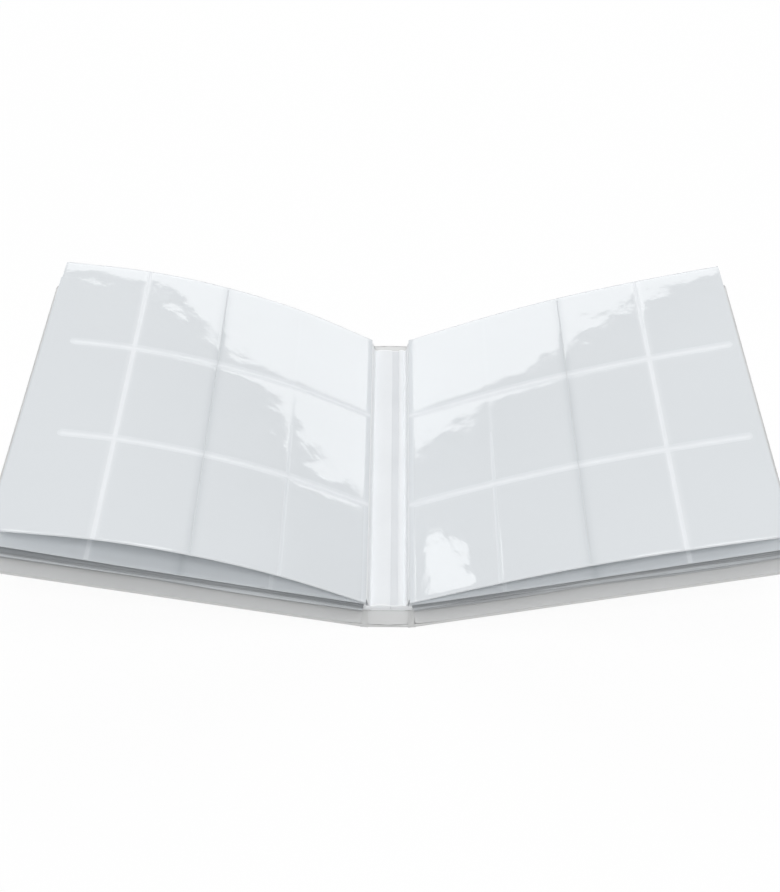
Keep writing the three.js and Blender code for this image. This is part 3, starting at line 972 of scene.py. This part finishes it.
def add_lower_leaf(half, number):
    """A leaf in the pile. Its edges lie a little further in or out than its neighbours'."""
    shape = LeafShape(half, number)
    body = "%s_leaf_%02d" % (half.name, number)
    second = number == SECOND
    recess = LEAF_RECESS * ((number - SECOND) * LEAF_RECESS_TURN % 1.0)
    depth = DEPTH / 2 if second else DEPTH / 2 - PILE_RECESS - recess
    shift = -SECOND_FORWARD[half.name] if second else PILE_SHIFT
    share = (LEAVES - number) / LEAVES

    def pressed(s):
        if not second:
            return PILE_PRESSED * (LEAVES - number)
        sag = SECOND_SAG[half.name] * smooth_share(-s, -SECOND_SAG_REACH, 0.0)
        return sag - SECOND_LIFT[half.name] * (s / LENGTH) ** 2

    def wave(s, y):
        place = Vector((s, y, half.sign)) * WAVE_SCALE
        own = place + Vector((0.0, 0.0, number * LEAF_WAVE_START))
        return share * PILE_WAVE * noise.noise(place) + OWN_WAVE * noise.noise(own) - pressed(s)

    def slide(s):
        place = Vector((s * WAVE_SCALE, number * LEAF_WAVE_START, half.sign))
        return shift + (0.0 if second else EDGE_WANDER * noise.noise(place))

    def film(s, y):
        return min(shape.height(s, y), FILM_LOW + PUFF / 2)

    bm = leaf_grid(
        INNER_MARGIN,
        LENGTH,
        depth - (FILM_INSET if second else PILE_FILM_INSET),
        *(SECOND_STEPS if second else PILE_STEPS),
    )
    drawn(shape, bm, lambda s, y: wave(s, y) + film(s, y), lambda s, y: wave(s, y) - film(s, y), slide)
    node = body + "_pockets"
    finished(bm, node + "_films", FILM, body, "pocket_film", node)
    bm = leaf_grid(0.0, LENGTH - CORE_SHORTER, depth, *PILE_CORE_STEPS)
    drawn(shape, bm, lambda s, y: wave(s, y) + CORE_HALF, lambda s, y: wave(s, y) - CORE_HALF, slide)
    # Cores deep in the pile take their painted shade here.
    core = PAINTED_SHADE_CORES.get(number, CORE)
    finished(bm, body + "_core_sheet", core, body, "leaf_core", body + "_core")


for half in (LEFT, RIGHT):
    for number in LOWER_LEAVES:
        add_lower_leaf(half, number)

# Top leaves
# The topmost leaf of each side bulges up from the pile. It is made as the others are, with a film on each
# face, and the pockets of its two middle columns open along slits at the leaf's middle.

TOP = 1
TOP_SLOPES = {"left": (30.8, 22.6, 15.7, 7.3), "right": (23.9, 21.0, 17.2, 14.7)}
FILM_START = 0.3 * MM
FILM_SHEET = 0.2 * MM
MOUTH_END = 3.0 * MM
FRONT_FILM_STEPS = (0.45 * MM, 2.75 * MM)
BACK_FILM_STEPS = (0.9 * MM, 8.0 * MM)
TOP_CORE_STEPS = (4.0 * MM, 8.0 * MM)


def slit(bm):
    """Opens the mouths of the pockets along the middle of a leaf."""
    open_faces = []
    for face in bm.faces:
        s, y, _ = face.calc_center_median()
        if abs(s - MIDDLE) < MOUTH_HALF and DEPTH / 2 - abs(y) > FILM_INSET + MOUTH_END:
            open_faces.append(face)
    bmesh.ops.delete(bm, geom=open_faces, context="FACES")


def add_top_leaf(half):
    shape = LeafShape(half, TOP, TOP_SLOPES[half.name])
    body = "%s_leaf_%02d" % (half.name, TOP)
    for face, sign, steps in (("front", 1.0, FRONT_FILM_STEPS), ("back", -1.0, BACK_FILM_STEPS)):
        bm = leaf_grid(FILM_START, LENGTH - FILM_START, DEPTH / 2 - FILM_INSET, *steps)
        slit(bm)
        drawn(
            shape,
            bm,
            lambda s, y: sign * shape.height(s, y),
            lambda s, y: sign * max(CORE_HALF, shape.height(s, y) - FILM_SHEET),
        )
        node = "%s_%s_pockets" % (body, face)
        finished(bm, node + "_film", FILM, body, "pocket_film", node)
    bm = leaf_grid(0.0, LENGTH - CORE_SHORTER, DEPTH / 2, *TOP_CORE_STEPS)
    drawn(shape, bm, lambda s, y: CORE_HALF, lambda s, y: -CORE_HALF)
    finished(bm, body + "_core_sheet", CORE, body, "leaf_core", body + "_core")


for half in (LEFT, RIGHT):
    add_top_leaf(half)

# Gutter bands
# The topmost margin of each side is a slightly thicker band of the same plastic, welded on last. It is
# crowned beside the groove. Where it climbs to the root of the top leaf, and at its ends, it is painted
# lighter: a painted light over the shade that falls there.

BAND_FLAT_END = 12.5 * MM
BAND_SHEET = 0.55 * MM
BAND_STEPS = 16
BAND_CROWN = 1.0 * MM
BAND_CROWN_FULLNESS = 0.7
BAND_TUCK = 0.45 * MM
BAND_CLIMB_STEPS = 14
BAND_FOOT_PULL = 3.6 * MM
BAND_LIP_PULL = 2.2 * MM
CLIMB_LIGHT_START = 12.8 * MM
CLIMB_LIGHT_FULL = 15.0 * MM

BAND = margin_material("gutter_band", (0.77, 0.79, 0.81), (0.80, 0.82, 0.84))
# Painted light on the side-facing climb of the band, which lies in shade.
paint_light_outward(BAND, "X", CLIMB_LIGHT_START, CLIMB_LIGHT_FULL)
paint_light_outward(BAND, "Y", END_LIGHT_START, END_LIGHT_FULL)


def curve(points, steps):
    """Points along the cubic curve that four control points give."""
    line = []
    for i in range(1, steps + 1):
        t = i / steps
        weights = ((1 - t) ** 3, 3 * t * (1 - t) ** 2, 3 * t * t * (1 - t), t ** 3)
        line.append(sum((point * weight for point, weight in zip(points, weights)), Vector()))
    return line


def add_band(half):
    name = half.name + "_gutter_band"
    low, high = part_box(name)
    out, up = half.leaf_root(TOP)
    root = half.frame @ Vector((out - ROOT_GAP, 0.0, up))
    slope = math.radians(TOP_SLOPES[half.name][0])
    inner = high.x if half.sign < 0 else low.x
    flat_end = half.sign * BAND_FLAT_END
    line = [Vector((inner, 0.0, low.z - BAND_TUCK))]
    for i in range(BAND_STEPS + 1):
        across = i / BAND_STEPS
        crown = BAND_CROWN * math.sin(math.pi * across) ** BAND_CROWN_FULLNESS
        line.append(Vector((inner + (flat_end - inner) * across, 0.0, low.z + crown)))
    foot = line[-1] + Vector((half.sign * BAND_FOOT_PULL, 0.0, 0.0))
    lip = root - BAND_LIP_PULL * Vector((half.sign * math.cos(slope), 0.0, math.sin(slope)))
    line += curve((line[-1], foot, lip, root), BAND_CLIMB_STEPS)
    bm = bmesh.new()
    ribbon(bm, line, high.y - low.y, BAND_SHEET)
    band = finished(bm, name + "_film", BAND, "spine", "welded_margin", name)
    flatten_under(band)


for half in (LEFT, RIGHT):
    add_band(half)
